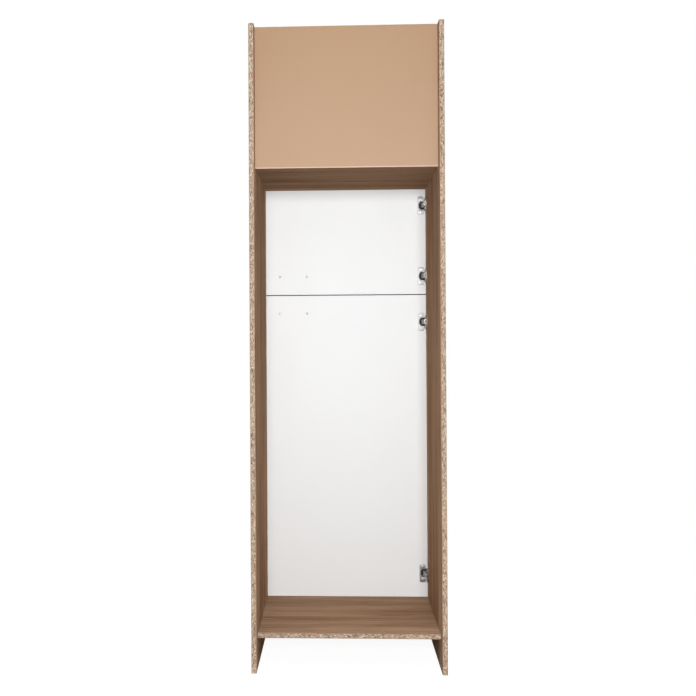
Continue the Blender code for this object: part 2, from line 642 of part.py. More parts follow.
def doors_and_hinges():
    cup, arm, plate = cup_mesh(), arm_mesh(), plate_mesh()
    inner_link, outer_link = inner_link_mesh(), outer_link_mesh()
    handle, screw = bow_handle_mesh(), screw_mesh()
    corner = Vector((0, 0))
    for name, low_z, high_z, inset, handle_z in DOORS:
        axis = swing_axis_empty("axis_" + name)
        hinge_zs = (low_z + inset, high_z - inset)
        door(name, low_z, high_z, hinge_zs, handle_z, axis)
        for level, z in zip(("lower", "upper"), hinge_zs):
            mark = f"{name}_{level}"
            finish(add_object("hinge_cup_" + mark, cup.copy(), UNIT,
                              hinge_place(corner, z), axis), NICKEL)
            finish(add_object("hinge_arm_" + mark, arm.copy(), UNIT,
                              hinge_place(corner, z)), NICKEL)
            finish(add_object("hinge_plate_" + mark, plate.copy(), UNIT,
                              hinge_place(corner, z)), NICKEL)
            finish(add_object("hinge_inner_link_" + mark, inner_link.copy(), UNIT,
                              hinge_place(INNER_ARM_PIN, z)), STEEL)
            finish(add_object("hinge_outer_link_" + mark, outer_link.copy(), UNIT,
                              hinge_place(OUTER_CUP_PIN, z), axis), STEEL)
        middle_x = sum(HANDLE_SCREW_XS) / 2
        finish(add_object("handle_" + name, handle.copy(), UNIT,
                          (middle_x, DOOR_OUTER_Y, handle_z), axis), STEEL)
        for side, x in zip(("inner", "outer"), HANDLE_SCREW_XS):
            finish(add_object(f"handle_screw_{name}_{side}", screw.copy(), UNIT,
                              (x, DOOR_INNER_Y, handle_z), axis), STEEL)


carcass()
doors_and_hinges()
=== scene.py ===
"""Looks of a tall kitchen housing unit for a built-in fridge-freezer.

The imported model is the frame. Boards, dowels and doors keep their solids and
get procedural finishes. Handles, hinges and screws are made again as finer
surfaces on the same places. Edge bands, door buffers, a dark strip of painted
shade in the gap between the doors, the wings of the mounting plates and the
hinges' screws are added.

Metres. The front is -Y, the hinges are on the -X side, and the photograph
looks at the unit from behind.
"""

import math

import bmesh
import bpy
import numpy as np
from bpy.props import FloatProperty, FloatVectorProperty, PointerProperty
from mathutils import Matrix, Vector


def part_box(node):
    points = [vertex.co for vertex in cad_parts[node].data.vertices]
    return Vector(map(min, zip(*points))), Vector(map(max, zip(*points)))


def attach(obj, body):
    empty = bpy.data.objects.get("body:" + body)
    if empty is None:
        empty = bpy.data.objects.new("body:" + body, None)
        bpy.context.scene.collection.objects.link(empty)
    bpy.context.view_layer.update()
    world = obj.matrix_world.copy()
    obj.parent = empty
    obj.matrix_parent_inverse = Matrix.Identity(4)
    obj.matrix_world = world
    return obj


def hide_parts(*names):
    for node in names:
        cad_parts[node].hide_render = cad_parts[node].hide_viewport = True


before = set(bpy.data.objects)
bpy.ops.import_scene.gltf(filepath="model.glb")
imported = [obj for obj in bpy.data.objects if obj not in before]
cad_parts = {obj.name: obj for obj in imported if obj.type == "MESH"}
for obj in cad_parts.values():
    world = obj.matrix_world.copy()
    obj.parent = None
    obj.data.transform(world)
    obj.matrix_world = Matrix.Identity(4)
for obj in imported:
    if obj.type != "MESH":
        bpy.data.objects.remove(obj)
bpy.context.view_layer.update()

bl_info = {
    "name": "Fridge housing unit",
    "version": (1, 0, 0),
    "blender": (4, 5, 0),
    "location": "View3D > Sidebar > Housing",
    "description": "Dresses the boards, doors, handles and hinges of a fridge housing unit",
    "category": "Object",
}

DOORS = ("top", "freezer", "fridge")
# Each level's name, and its way up or down from the middle
LEVELS = (("upper", 1), ("lower", -1))
# Each hinge's door and name
HINGES = tuple((door, f"{door}_{level}") for door in DOORS for level, _ in LEVELS)

# Each board's axes through it, along its grain and across its grain, and its tone.
# A tone under one is partly painted shade: the fixed shelf, whose underside
# lies in shade, is darkened most.
BOARDS = {
    "side_panel_left": ("X", "Z", "Y", 0.91),
    "side_panel_right": ("X", "Z", "Y", 0.88),
    "bottom_panel": ("Z", "X", "Y", 0.85),
    "fixed_shelf": ("Z", "X", "Y", 0.70),
    "top_panel": ("Z", "X", "Y", 1.0),
    "plinth_panel": ("Y", "X", "Z", 0.95),
}
# Noises of the oak print: factor on the scale along the grain, scale, detail, roughness
OAK_NOISES = {
    "wander": (0.10, 5.0, 3.0, 0.55),
    "tone": (0.12, 9.0, 4.0, 0.5),
    "band": (0.07, 42.0, 3.0, 0.55),
    "fibre": (0.022, 330.0, 5.0, 0.65),
    "pore": (0.035, 900.0, 1.0, 0.5),
}

SIDE_LOW, SIDE_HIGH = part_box("side_panel_left")
INNER_FACE_X = SIDE_HIGH.x
FRONT_EDGE_Y = SIDE_LOW.y
REAR_EDGE_Y = SIDE_HIGH.y

SHARP_ANGLE = math.radians(38)
FLAT_ANGLE = math.radians(1)
MERGE_DISTANCE = 0.000005

PHOTO_SIZE = 696
SENSOR = 36.0

COOL = (0.955, 0.985, 1.0)
WHITE = (1, 1, 1)
UNIT_MIDDLE = (0, 0, 1.1)
KEY_Y = REAR_EDGE_Y + 4.5
EDGE_Y = REAR_EDGE_Y + 0.7
SKY_Y = REAR_EDGE_Y + 0.9
# Each lamp's place, the point it looks at, its width and height, watts and tint
LAMPS = {
    "key_behind_right": ((-0.28, KEY_Y, 1.45), UNIT_MIDDLE, (0.6, 1.0), 104, COOL),
    "key_behind_left": ((0.2, KEY_Y, 1.45), UNIT_MIDDLE, (0.6, 1.0), 80, COOL),
    "edge_left": ((-3.3, EDGE_Y, 1.3), (0, REAR_EDGE_Y, 1.3), (1.2, 1.6), 20, COOL),
    "edge_right": ((3.3, EDGE_Y, 1.3), (0, REAR_EDGE_Y, 1.3), (1.2, 1.6), 20, COOL),
    "sky_behind": ((0, SKY_Y, 6.0), (0, SKY_Y, 0), (2.0, 1.6), 110, WHITE),
    "key_front_left": ((-2.2, FRONT_EDGE_Y - 2.8, 2.3), UNIT_MIDDLE, (1.8, 2.0), 80, WHITE),
    "fill_front_right": ((2.4, FRONT_EDGE_Y - 2.4, 1.6), UNIT_MIDDLE, (1.8, 2.0), 45, WHITE),
}


# Values that a user may change

def metres(name, default, description):
    """A length."""
    return FloatProperty(name=name, default=default, description=description,
                         unit="LENGTH", precision=5)


def share(name, default, description):
    """A share from nought to one."""
    return FloatProperty(name=name, default=default, description=description,
                         min=0.0, max=1.0, subtype="FACTOR")


def pixels(name, default, description):
    """A measure in the photograph."""
    return FloatProperty(name=name, default=default, description=description,
                         subtype="PIXEL")


def radians(name, default, description):
    """An angle."""
    return FloatProperty(name=name, default=default, description=description,
                         subtype="ANGLE", precision=5)


def colour(name, default, description):
    """A colour, in linear light."""
    return FloatVectorProperty(name=name, default=default, description=description,
                               size=3, min=0.0, max=1.0, subtype="COLOR")


class BoardFinish(bpy.types.PropertyGroup):
    """Light oak print, and the chips of a cut edge."""
    oak_light: colour("Oak, light", (0.575, 0.378, 0.250), "Early wood of the print")
    oak_mid: colour("Oak, middle", (0.490, 0.312, 0.200), "Ground colour of the print")
    oak_dark: colour("Oak, dark", (0.315, 0.184, 0.108), "Late wood of the print")
    oak_pore: colour("Oak, pores", (0.20, 0.112, 0.062), "Short dark pores")
    line_spacing: metres("Growth lines", 0.013, "Distance from one growth line to the next")
    chip_cream: colour("Chip, cream", (0.715, 0.570, 0.425), "Lightest chips")
    chip_tan: colour("Chip, tan", (0.375, 0.268, 0.192), "Most of the chips")
    chip_pink: colour("Chip, pink", (0.500, 0.262, 0.205), "Reddish chips")
    chip_green: colour("Chip, green", (0.330, 0.285, 0.160), "Greenish chips")
    chip_brown: colour("Chip, brown", (0.085, 0.048, 0.030), "Bark and dark chips")
    chip_dust: colour("Chip, dust", (0.335, 0.258, 0.200), "Fine chips under the print")
    chip_length: metres("Chip length", 0.0060, "Size of a chip in the board's plane")
    chip_thickness: metres("Chip thickness", 0.0024, "Size of a chip through the board")
    fine_layer: metres("Fine layer", 0.0022, "Depth of the fine layer under each face")
    film: metres("Print film", 0.00022, "Thickness of the printed film")


class PanelFinish(bpy.types.PropertyGroup):
    """Hardboard, doors, the dark strip of painted shade between the doors, and dowels."""
    hardboard: colour("Hardboard", (0.384, 0.236, 0.136), "Smooth brown face")
    # Painted light: the face lightens towards the sheet's lower edge; this colour also clouds the
    # face
    hardboard_painted_light_and_cloud: colour("Hardboard, low", (0.434, 0.275, 0.173), "The face near its lower edge")
    hardboard_fibre: colour("Hardboard, fibres", (0.36, 0.22, 0.14), "Dark fibres in the face")
    hardboard_cut: colour("Hardboard, cut", (0.66, 0.44, 0.345), "Sawn edge of the sheet")
    cut_height: metres("Sawn edge", 0.0026, "Height of the light line at the sheet's lower edge")
    white: colour("White foil", (0.868, 0.881, 0.888), "Door faces")
    # Partly painted shade: the edge band's own grey, darkened to stand for shade at the doors'
    # edges
    white_edge_and_painted_shade: colour("White edge", (0.80, 0.798, 0.79), "Door edges")
    edge_depth: metres("White edge, depth", 0.001, "How far a door's edge band shows on its face")
    # Painted shade: a dark strip stands for the shadow in the gap between the doors
    strip: colour("Gap shade strip", (0.030, 0.030, 0.030), "Painted shade in the gap between the doors")
    beech: colour("Beech", (0.66, 0.46, 0.29), "Dowels")


class MetalFinish(bpy.types.PropertyGroup):
    """Plated steel and plastic of the fittings."""
    flange: colour("Flange", (0.28, 0.26, 0.255), "Nickel of the cups' flanges")
    # Painted shade: the cups' insides darken with depth below the flange
    cup_painted_shade: colour("Painted shade in cups", (0.012, 0.010, 0.009), "The inside of the cups")
    cup_painted_shade_start: metres("Painted shade, start", 0.0008, "Depth at which the cups begin to darken")
    cup_painted_shade_depth: metres("Painted shade depth", 0.0045, "Depth at which the cups are dark")
    nickel: colour("Nickel", (0.540, 0.515, 0.480), "Arms")
    # Partly painted shade: the plates' nickel is darkened to stand for the shade and shadows
    # about them
    plate: colour("Plates", (0.15, 0.136, 0.118), "Cast mounting plates")
    steel: colour("Zinc", (0.40, 0.405, 0.41), "Links and screws")
    handle: colour("Satin nickel", (0.47, 0.46, 0.445), "Handles")
    buffer: colour("Buffer", (0.78, 0.80, 0.80), "Soft clear plastic of the door buffers")


class FittingSizes(bpy.types.PropertyGroup):
    """Sizes of the fine pieces that the frame doesn't give."""
    cup_radius: metres("Cup radius", 0.0175, "Outer radius of the pressed cup")
    cup_wall: metres("Cup wall", 0.001, "Sheet of the cup")
    cup_floor: metres("Cup floor", 0.0008, "Sheet of the cup's floor")
    cup_fillet: metres("Cup fillet", 0.0016, "Round between the cup's floor and wall")
    ring_radius: metres("Rim radius", 0.0187, "Outer radius of the cup's rim")
    flange_sheet: metres("Flange", 0.001, "Sheet of the flange plate")
    flange_near: metres("Flange near", -0.0015, "Near edge of the flange plate from the cup")
    flange_far: metres("Flange far", 0.0205, "Far edge of the flange plate from the cup")
    flange_corner: metres("Flange corner", 0.006, "Corner radius of the flange plate")
    opening_far: metres("Opening, far", 0.0158, "Far edge of the flange's opening")
    opening_half: metres("Opening, half", 0.0142, "Half height of the flange's opening")
    opening_corner: metres("Opening corner", 0.0070, "Corner radius of the opening")
    opening_lip: metres("Opening lip", 0.00005, "Least lip of the flange inside the wall")
    edge_roll: metres("Edge roll", 0.00028, "Roll of a pressed edge")
    cup_screw_spread: metres("Cup screws", 0.0225, "Cup screws above and below the cup")
    cup_screw_in: metres("Cup screws, in", 0.0095, "Cup screws from the cup's middle")
    cup_screw_radius: metres("Cup screw head", 0.0036, "Radius of a cup screw's head")
    cup_screw_height: metres("Cup screw height", 0.0009, "Height of a cup screw's head")
    cup_screw_shank: metres("Cup screw shank", 0.0014, "Radius of a cup screw's shank")
    wing_start: metres("Wing start", 0.0086, "Where a plate's wing starts, from its middle")
    wing_high: metres("Wing, high", 0.0078, "Height of a wing beside the arm")
    wing_low: metres("Wing, low", 0.0026, "Height of a wing at its end")
    wing_half: metres("Wing, half", 0.0062, "Half width of a wing")
    slot_length: metres("Slot length", 0.0040, "Length of the slot in an arm's nose")
    slot_width: metres("Slot width", 0.0030, "Width of the slot in an arm's nose")
    slot_back: metres("Slot, back", 0.0190, "End of the slot behind the front edge")
    slot_past: metres("Slot, past", 0.001, "How far the cut runs out of the nose")
    plate_screw_spread: metres("Plate screws", 0.016, "Plate screws above and below the arm")
    plate_screw_back: metres("Plate screws, back", 0.037, "Plate screws behind the front edge")
    plate_screw_radius: metres("Plate screw head", 0.0046, "Radius of a plate screw's head")
    plate_screw_height: metres("Plate screw height", 0.0026, "Height of a plate screw's head")
    plate_screw_shank: metres("Plate screw shank", 0.0016, "Radius of a plate screw's shank")
    wing_seat: metres("Plate screw seat", 0.0046, "Seat of a plate screw's head on its wing")
    arm_screw_front: metres("Arm screw, front", 0.0285, "Adjusting screw behind the front edge")
    arm_screw_rear: metres("Arm screw, rear", 0.0475, "Fixing screw behind the front edge")
    arm_screw_radius: metres("Arm screw head", 0.0031, "Radius of an arm screw's head")
    arm_screw_height: metres("Arm screw height", 0.0013, "Height of an arm screw's head")
    arm_screw_shank: metres("Arm screw shank", 0.0016, "Radius of an arm screw's shank")
    arm_seat: metres("Arm screw seat", 0.0098, "Seat of an arm screw's head on the arm")
    hinge_screw_depth: metres("Hinge screws", 0.002, "Depth of the hinges' screws in the metal")
    handle_bar: metres("Handle bar", 0.005, "Radius of the handle's bar")
    handle_bend: metres("Handle bend", 0.014, "Radius of the handle's bends")
    handle_screw_shank: metres("Handle screw", 0.002, "Radius of the handle screws' shanks")
    band: metres("Edge band", 0.0004, "Thickness of the edge bands")
    band_round: metres("Edge band, round", 0.00015, "Rounding of the edge bands")
    strip_depth: metres("Strip depth", 0.006, "Gap shade strip from front to back")
    strip_clearance: metres("Strip clearance", 0.0004, "Gap shade strip above the lower door")
    strip_inset: metres("Strip inset", 0.002, "Gap shade strip's ends from the door's edges")
    buffer_radius: metres("Buffer radius", 0.004, "Radius of a door buffer")
    buffer_height: metres("Buffer height", 0.0016, "Height of a door buffer")
    buffer_inset: metres("Buffer inset", 0.014, "Buffer from the door's upper or lower edge")


class StudioSetup(bpy.types.PropertyGroup):
    """Floor, surround and the photograph's camera."""
    focal_length: pixels("Focal length", 1099.3, "Focal length of the photograph")
    centre_x: pixels("Optical axis, across", 283.9, "Pixel column of the optical axis")
    centre_y: pixels("Optical axis, down", 336.2, "Pixel row of the optical axis")
    yaw: radians("Yaw", -0.0486, "Turn to the side")
    pitch: radians("Pitch", 0.0066, "Tilt upwards")
    roll: radians("Roll", -0.0052, "Roll about the line of sight")
    camera_x: metres("Camera, across", 0.0308, "Camera from the unit's middle plane")
    camera_back: metres("Camera, back", 3.3698, "Camera behind the sides' rear edges")
    camera_z: metres("Camera height", 1.0124, "Camera above the floor")
    ambient: share("Ambient", 0.17, "Light from all round")
    floor_white: share("Floor white", 0.92, "How white the floor shows before the lamps")
    floor_near: metres("Shadow, near", 0.45, "Distance at which the floor starts to pale")
    floor_far: metres("Shadow, far", 1.5, "Distance at which the floor is all white")
    floor_reach: metres("Floor reach", 14.0, "Half of the floor's side")
    floor_drop: metres("Floor drop", 0.0004, "Floor below the unit's feet")
    floor_colour: colour("Floor", (0.55, 0.55, 0.55), "Floor as it lights the unit")
    floor_shown: colour("Floor, shown", (0.24, 0.24, 0.24), "Floor as it takes the shadow")


# Shader shorthand

class Nodes:
    """A short way to build a tree's nodes."""

    def __init__(self, tree):
        self.tree = tree

    def join(self, value, socket):
        """Link an output to a socket, or write a plain value in it."""
        if isinstance(value, bpy.types.NodeSocket):
            self.tree.links.new(value, socket)
        elif socket.type == "RGBA":
            socket.default_value = (*tuple(value)[:3], 1.0)
        else:
            socket.default_value = value

    def node(self, kind, inputs=None, **settings):
        """A new node with its settings and inputs."""
        made = self.tree.nodes.new("ShaderNode" + kind)
        for key, value in settings.items():
            setattr(made, key, value)
        for key, value in (inputs or {}).items():
            self.join(value, made.inputs[key])
        return made

    def place(self, scale=(1, 1, 1), shift=(0, 0, 0)):
        """Object coordinates, stretched and shifted."""
        coordinates = self.node("TexCoord").outputs["Object"]
        return self.node("Mapping", {"Vector": coordinates, "Scale": scale,
                                     "Location": shift}).outputs["Vector"]

    def axis(self, letter):
        """One Object coordinate, in metres."""
        coordinates = self.node("TexCoord").outputs["Object"]
        return self.node("SeparateXYZ", {"Vector": coordinates}).outputs[letter]

    def depth(self, letter, low, high):
        """How far a point lies inside the nearer of two ends of an axis."""
        place = self.axis(letter)
        return self.math("MINIMUM", self.math("SUBTRACT", place, low),
                         self.math("SUBTRACT", high, place))

    def math(self, operation, *values):
        """A sum, product or other function of up to three values."""
        return self.node("Math", dict(enumerate(values)), operation=operation).outputs[0]

    def noise(self, place, scale, detail=2.0, roughness=0.5):
        """A noise from nought to one."""
        return self.node("TexNoise", {"Vector": place, "Scale": scale, "Detail": detail,
                                      "Roughness": roughness}).outputs["Fac"]

    def span(self, value, low, high, to_low=0.0, to_high=1.0):
        """Value from low to high becomes to_low to to_high, held at both ends."""
        return self.node("MapRange", {"Value": value, "From Min": low, "From Max": high,
                                      "To Min": to_low, "To Max": to_high},
                         clamp=True).outputs["Result"]

    def mix(self, factor, first, second):
        """The first colour at nought, the second at one."""
        made = self.node("Mix", data_type="RGBA")
        self.join(factor, made.inputs[0])
        self.join(first, made.inputs[6])
        self.join(second, made.inputs[7])
        return made.outputs[2]

    def ramp(self, factor, stops, interpolation="LINEAR"):
        """A colour picked from stops, each a position and a colour."""
        made = self.node("ValToRGB", {"Fac": factor})
        made.color_ramp.interpolation = interpolation
        elements = made.color_ramp.elements
        while len(elements) < len(stops):
            elements.new(0.5)
        for element, (position, value) in zip(elements, stops):
            element.position = position
            element.color = (*tuple(value)[:3], 1.0)
        return made.outputs["Color"]


class Finish(Nodes):
    """A material, and a short way to build its nodes."""

    def __init__(self, name):
        self.material = bpy.data.materials.new(name)
        self.material.use_nodes = True
        super().__init__(self.material.node_tree)
        self.surface = self.tree.nodes["Principled BSDF"]

    def bump(self, height, distance, strength=1.0):
        """Relief of a height, at most a distance deep."""
        made = self.node("Bump", {"Height": height, "Distance": distance, "Strength": strength})
        self.join(made.outputs["Normal"], self.surface.inputs["Normal"])

    def show(self, **inputs):
        """Join values to the surface's sockets, and give the finished material."""
        for key, value in inputs.items():
            self.join(value, self.surface.inputs[key.replace("_", " ")])
        return self.material


def stretched(letter, factor):
    """A scale that shrinks one axis, so that a pattern runs long that way."""
    return tuple(factor if axis == letter else 1.0 for axis in "XYZ")


def shaded(base, factor):
    """A colour made darker or lighter by a factor."""
    return tuple(factor * value for value in base)


# Finishes

def oak_print(finish, grain, across, shift, board_tone_and_painted_shade=1.0):
    """Colour and relief of the oak print. Growth lines are a sine of the way
    across the grain, pushed about by two noises that are long in the grain's
    direction; fibres and pores are finer noises, longer still. No two boards
    have quite the same tone, and a tone under one is partly painted shade,
    most on the fixed shelf."""
    look = bpy.context.scene.housing_boards
    wander, tone, band, fibre, pore = (
        finish.noise(finish.place(stretched(grain, factor), shift), scale, detail, roughness)
        for factor, scale, detail, roughness in OAK_NOISES.values())
    turn = finish.math("MULTIPLY", finish.axis(across), 2 * math.pi / look.line_spacing)
    # Radians by which the slow and the quick noise push the lines
    for push, most in ((wander, 46.0), (band, 11.0)):
        turn = finish.math("ADD", turn, finish.math("MULTIPLY", push, most))
    lines = finish.math("MULTIPLY_ADD", finish.math("SINE", turn), 0.5, 0.5)
    figure = finish.math("MULTIPLY", lines, finish.span(tone, 0.42, 0.68, 0.10, 0.38))
    for part, weight in ((fibre, 0.40), (tone, 0.38), (band, 0.50)):
        figure = finish.math("ADD", figure, finish.math("MULTIPLY", part, weight))
    # Painted shade, in part: each board's colours are scaled by its tone
    light, middle, dark, hole = (
        shaded(shade, board_tone_and_painted_shade)
        for shade in (look.oak_light, look.oak_mid, look.oak_dark, look.oak_pore))
    shade = finish.ramp(finish.span(figure, 0.53, 0.92),
                        ((0.0, light), (0.46, middle), (1.0, dark)))
    holes = finish.span(pore, 0.62, 0.70, 0.0, 0.55)
    return finish.mix(holes, shade, hole), fibre


def cut_chips(finish, through, depth):
    """Colour and relief of a sawn chipboard edge. Chips are flat cells: short
    through the board, long in its plane. They turn to fine dust under the faces."""
    look = bpy.context.scene.housing_boards
    cell = tuple(1 / (look.chip_thickness if axis == through else look.chip_length)
                 for axis in "XYZ")
    place = finish.place(cell)
    coarse, fine = (
        finish.node("TexVoronoi", {"Vector": place, "Scale": scale, "Randomness": 1.0})
        for scale in (1.0, 2.7))
    palette = ((0.0, look.chip_brown), (0.15, look.chip_tan), (0.36, look.chip_cream),
               (0.56, look.chip_pink), (0.70, look.chip_green), (0.82, look.chip_tan),
               (0.93, look.chip_cream))
    picks = [finish.node("SeparateColor", {"Color": cells.outputs["Color"]}).outputs["Red"]
             for cells in (coarse, fine)]
    big, small = (finish.ramp(pick, palette, "CONSTANT") for pick in picks)
    dust = finish.ramp(picks[1], ((0.0, look.chip_brown), (0.10, look.chip_dust),
                                  (0.80, look.chip_tan)), "CONSTANT")
    gap = finish.span(coarse.outputs["Distance"], 0.55, 0.95, 0.0, 0.65)
    core = finish.mix(0.42, big, small)
    core = finish.mix(gap, core, look.chip_brown)
    fine_layer = finish.span(depth, look.fine_layer * 0.6, look.fine_layer, 0.85, 0.0)
    relief = finish.math("SUBTRACT", picks[0], finish.math("MULTIPLY", gap, 1.5))
    return finish.mix(fine_layer, core, dust), relief


def board_finish(node):
    """Oak print on both faces of a board, chips on its sawn edges."""
    look = bpy.context.scene.housing_boards
    through, grain, across, tone = BOARDS[node]
    low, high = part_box(node)
    index = "XYZ".index(through)
    finish = Finish("oak_" + node)
    depth = finish.depth(through, low[index], high[index])
    # Each board lies on its own stretch of the print
    shift = tuple(3.7 * (low[i] + high[i]) for i in range(3))
    # The board's tone is partly painted shade
    printed, fibre = oak_print(finish, grain, across, shift, tone)
    chips, relief = cut_chips(finish, through, depth)
    cut = finish.span(depth, look.film, look.film * 1.6)
    height = finish.math("ADD",
                         finish.math("MULTIPLY", fibre, finish.span(cut, 0, 1, 0.10, 0.0)),
                         finish.math("MULTIPLY", relief, cut))
    finish.bump(height, 0.00035, 0.8)
    return finish.show(Base_Color=finish.mix(cut, printed, chips), Specular_IOR_Level=0.0,
                       Roughness=finish.span(cut, 0, 1, 0.58, 0.9))


def band_finish():
    """The oak edge band, with its grain along the edge."""
    finish = Finish("oak_edge_band")
    printed, fibre = oak_print(finish, "Z", "X", (0.3, 0.1, 0.7))
    finish.bump(fibre, 0.00006, 0.5)
    return finish.show(Base_Color=printed, Roughness=0.55, Specular_IOR_Level=0.0)


def hardboard_finish():
    """Smooth hardboard, clouded a little and lighter towards its lower edge as painted light,
    with a light sawn lower edge.
    """
    look = bpy.context.scene.housing_panels
    low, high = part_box("back_panel")
    finish = Finish("hardboard_brown")
    up = finish.axis("Z")
    cloud = finish.noise(finish.place((1, 1, 0.5)), 6.0, 3.0, 0.5)
    speck = finish.noise(finish.place(), 1400.0, 2.0, 0.6)
    # Painted light: lighter towards the lower edge
    face = finish.mix(finish.span(up, low.z, high.z, 1.0, 0.0), look.hardboard,
                      look.hardboard_painted_light_and_cloud)
    face = finish.mix(finish.span(cloud, 0.35, 0.65, 0.0, 0.10), face, look.hardboard_painted_light_and_cloud)
    face = finish.mix(finish.span(speck, 0.55, 0.75, 0.0, 0.16), face, look.hardboard_fibre)
    cut = finish.span(up, low.z + look.cut_height, low.z + look.cut_height * 1.3, 1.0, 0.0)
    finish.bump(speck, 0.00008, 0.5)
    return finish.show(Base_Color=finish.mix(cut, face, look.hardboard_cut),
                       Roughness=finish.span(cloud, 0.3, 0.7, 0.50, 0.60),
                       Specular_IOR_Level=0.25)


def door_finish(door):
    """White foil with a fine orange peel, and a darker band round the edges, whose grey is partly
    the band's own tone and partly painted shade.
    """
    look = bpy.context.scene.housing_panels
    low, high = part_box("door_" + door)
    finish = Finish("white_foil_" + door)
    inset = finish.math("MINIMUM", finish.depth("X", low.x, high.x),
                        finish.depth("Z", low.z, high.z))
    band = finish.span(inset, look.edge_depth * 0.95, look.edge_depth * 1.05, 1.0, 0.0)
    peel = finish.noise(finish.place(), 520.0, 3.0, 0.55)
    smear = finish.noise(finish.place((1, 1, 0.35)), 14.0, 3.0, 0.5)
    finish.bump(peel, 0.00004, 0.5)
    # The edge band's grey is partly painted shade
    return finish.show(Base_Color=finish.mix(band, look.white, look.white_edge_and_painted_shade),
                       Roughness=finish.span(smear, 0.3, 0.7, 0.46, 0.50))


def scratched(finish, base, dull, brushed):
    """Scratch a finish finely along one axis. Gives the scratches, and its colour
    with patches that are darker by a factor."""
    scratch = finish.noise(finish.place(stretched(brushed, 0.05)), 2600.0, 3.0, 0.6)
    patch = finish.noise(finish.place(), 90.0, 3.0, 0.5)
    finish.bump(scratch, 0.00001, 0.4)
    return scratch, finish.mix(finish.span(patch, 0.35, 0.7), base, shaded(base, dull))


def metal_finish(name, base, roughness, brushed):
    """Plated or brushed metal: fine scratches along one axis change its gloss."""
    finish = Finish(name)
    scratch, coat = scratched(finish, base, 0.86, brushed)
    gloss = finish.span(scratch, 0.3, 0.7, roughness - 0.06, roughness + 0.08)
    return finish.show(Base_Color=coat, Metallic=1.0, Roughness=gloss)


def cup_finish():
    """Nickel on the cup's flange, and painted shade inside the cup: dull and dark deeper down."""
    look = bpy.context.scene.housing_metals
    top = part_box("hinge_cup_" + HINGES[0][1])[1].y
    finish = Finish("nickel_cup")
    scratch, coat = scratched(finish, look.flange, 0.88, "Z")
    # Painted shade: darker, duller and less metallic with depth in the cup
    painted_shade_mask = finish.span(finish.axis("Y"), top - look.cup_painted_shade_depth, top - look.cup_painted_shade_start,
                       1.0, 0.0)
    gloss = finish.math("ADD", finish.span(scratch, 0.3, 0.7, 0.42, 0.52),
                        finish.math("MULTIPLY", painted_shade_mask, 0.2))
    return finish.show(Base_Color=finish.mix(painted_shade_mask, coat, look.cup_painted_shade),
                       Metallic=finish.span(painted_shade_mask, 0.0, 1.0, 1.0, 0.2), Roughness=gloss)


def beech_finish():
    """Straight-grained beech with its short flecks."""
    look = bpy.context.scene.housing_panels
    finish = Finish("beech")
    grain = finish.noise(finish.place(stretched("X", 0.06)), 1500.0, 3.0, 0.6)
    finish.bump(grain, 0.00008, 0.5)
    flecked = finish.mix(finish.span(grain, 0.45, 0.72), look.beech, shaded(look.beech, 0.62))
    return finish.show(Base_Color=flecked, Roughness=0.7)


def gap_shade_finish():
    """Dull dark grey with fine cells, as painted shade for the gap between the doors."""
    look = bpy.context.scene.housing_panels
    finish = Finish("dark_painted_gap_shade")
    cells = finish.noise(finish.place(), 2200.0, 3.0, 0.6)
    finish.bump(cells, 0.0001, 0.6)
    painted_gap_shade = finish.mix(finish.span(cells, 0.4, 0.7), look.strip, shaded(look.strip, 1.7))
    return finish.show(Base_Color=painted_gap_shade, Roughness=0.95, Specular_IOR_Level=0.1)


def buffer_finish():
    """Soft clear plastic, a little cloudy."""
    look = bpy.context.scene.housing_metals
    finish = Finish("soft_clear_plastic")
    cloud = finish.noise(finish.place(), 900.0, 2.0, 0.5)
    return finish.show(Base_Color=look.buffer, Roughness=finish.span(cloud, 0.3, 0.7, 0.2, 0.34),
                       Transmission_Weight=0.35)


# Pieces

def add_object(name, data):
    """A new object in the scene."""
    made = bpy.data.objects.new(name, data)
    bpy.context.scene.collection.objects.link(made)
    return made


def dress(node, material):
    """Give a solid of the frame its finish."""
    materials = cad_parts[node].data.materials
    materials.clear()
    materials.append(material)


def settle(piece, body, slot, *nodes):
    """Hang a finished piece on its body, and hide the frame's solids that it stands for. Its slot
    is not used.
    """
    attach(piece, body)
    if nodes:
        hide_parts(*nodes)


def closed_surface(name, rings, material):
    """A closed surface through rings of points, an array of rings by points by
    three. Each ring joins the next, and a fan to the middle closes both ends.
    Faces are turned outwards by the sign of the enclosed volume."""
    count, around = rings.shape[:2]
    points = np.concatenate([rings.reshape(-1, 3), rings[:1].mean(1), rings[-1:].mean(1)])
    here = np.arange(around)
    after = (here + 1) % around
    row = np.arange(count - 1)[:, None] * around
    quads = np.stack([row + here, row + after, row + around + after, row + around + here],
                     -1).reshape(-1, 4)
    middle = count * around
    last = middle - around
    start = np.stack([after, here, np.full(around, middle)], -1)
    end = np.stack([last + here, last + after, np.full(around, middle + 1)], -1)
    triangles = np.concatenate([quads[:, [0, 1, 2]], quads[:, [0, 2, 3]], start, end])
    a, b, c = (points[triangles[:, i]] for i in range(3))
    if np.einsum("ij,ij->i", a, np.cross(b, c)).sum() < 0:
        quads, start, end = quads[:, ::-1], start[:, ::-1], end[:, ::-1]
    mesh = bpy.data.meshes.new(name)
    mesh.from_pydata(points.tolist(), [], quads.tolist() + start.tolist() + end.tolist())
    mesh.validate()
    mesh.shade_smooth()
    mesh.set_sharp_from_angle(angle=SHARP_ANGLE)
    mesh.materials.append(material)
    return add_object(name, mesh)


def set_screw(name, rings, axis, place, material, body, *nodes):
    """Set a screw, made about Z, along an axis at its place."""
    settle(closed_surface(name, to_axis(rings, axis, place), material), body,
           "bright_steel", *nodes)


